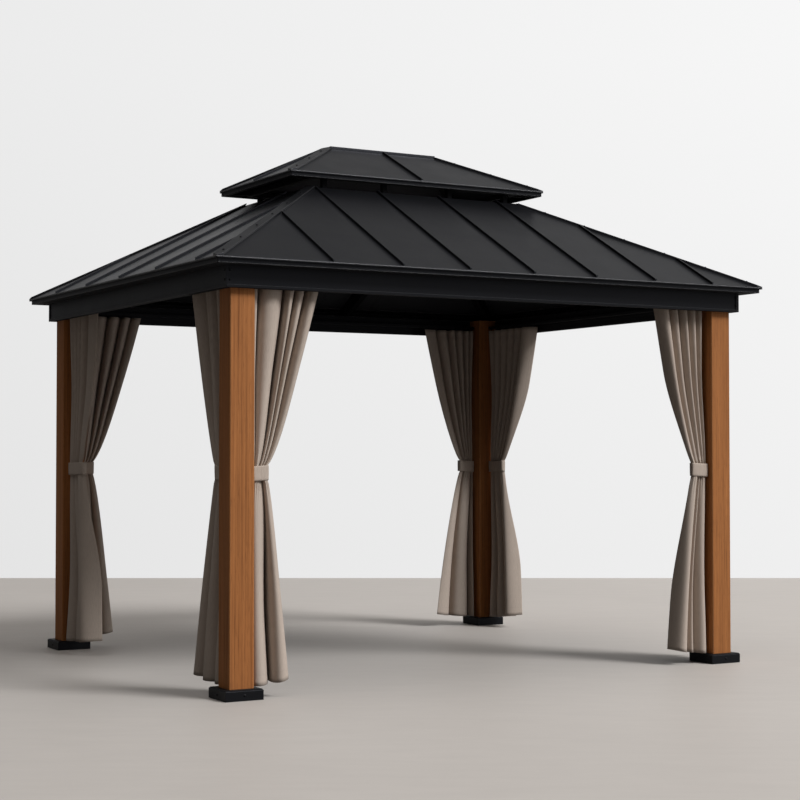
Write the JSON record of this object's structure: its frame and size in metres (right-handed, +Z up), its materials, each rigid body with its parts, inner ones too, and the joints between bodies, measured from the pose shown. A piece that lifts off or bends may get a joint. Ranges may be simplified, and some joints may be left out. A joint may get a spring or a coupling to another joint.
{
  "type": "hardtop garden gazebo",
  "caption": "Open rectangular garden gazebo with a two-tier standing-seam hip roof on square posts and tied-back curtains at the corners.",
  "frame": {"origin": "ground level, at the middle of the plan", "axes": "+X along the long side, +Y along the short side towards the back, +Z up"},
  "size_m": [3.59, 3.04, 3.1635],
  "materials": {
    "post_wood": "satin wood-grain coating on aluminium tube",
    "trim_black": "satin black powder coat",
    "roof_sheet": "satin charcoal coated steel sheet",
    "frame_steel": "matt black powder coat",
    "curtain": "woven taupe polyester"
  },
  "bodies": {
    "root": {"post_front_left": "post_wood", "post_front_right": "post_wood", "post_back_left": "post_wood", "post_back_right": "post_wood", "anchor_plates": "frame_steel", "foot_covers": "trim_black", "beam_front": "trim_black", "beam_back": "trim_black", "beam_left": "trim_black", "beam_right": "trim_black", "beam_corner_strips": "trim_black", "curtain_rails": "trim_black", "hip_rafters": "frame_steel", "slope_rafters": "frame_steel", "vent_frame": "frame_steel", "upper_frame": "frame_steel", "roof_front": "roof_sheet", "roof_back": "roof_sheet", "roof_left": "roof_sheet", "roof_right": "roof_sheet", "hip_caps": "roof_sheet", "eave_front": "trim_black", "eave_back": "trim_black", "eave_left": "trim_black", "eave_right": "trim_black", "upper_front": "roof_sheet", "upper_back": "roof_sheet", "upper_left": "roof_sheet", "upper_right": "roof_sheet", "upper_hip_caps": "roof_sheet", "ridge_cap": "roof_sheet", "upper_eaves": "trim_black", "curtain_front_left": "curtain", "curtain_front_right": "curtain", "curtain_back_left": "curtain", "curtain_back_right": "curtain", "curtain_left_front": "curtain", "curtain_left_back": "curtain", "curtain_right_front": "curtain", "curtain_right_back": "curtain", "tiebacks": "curtain"}
  },
  "joints": []
}
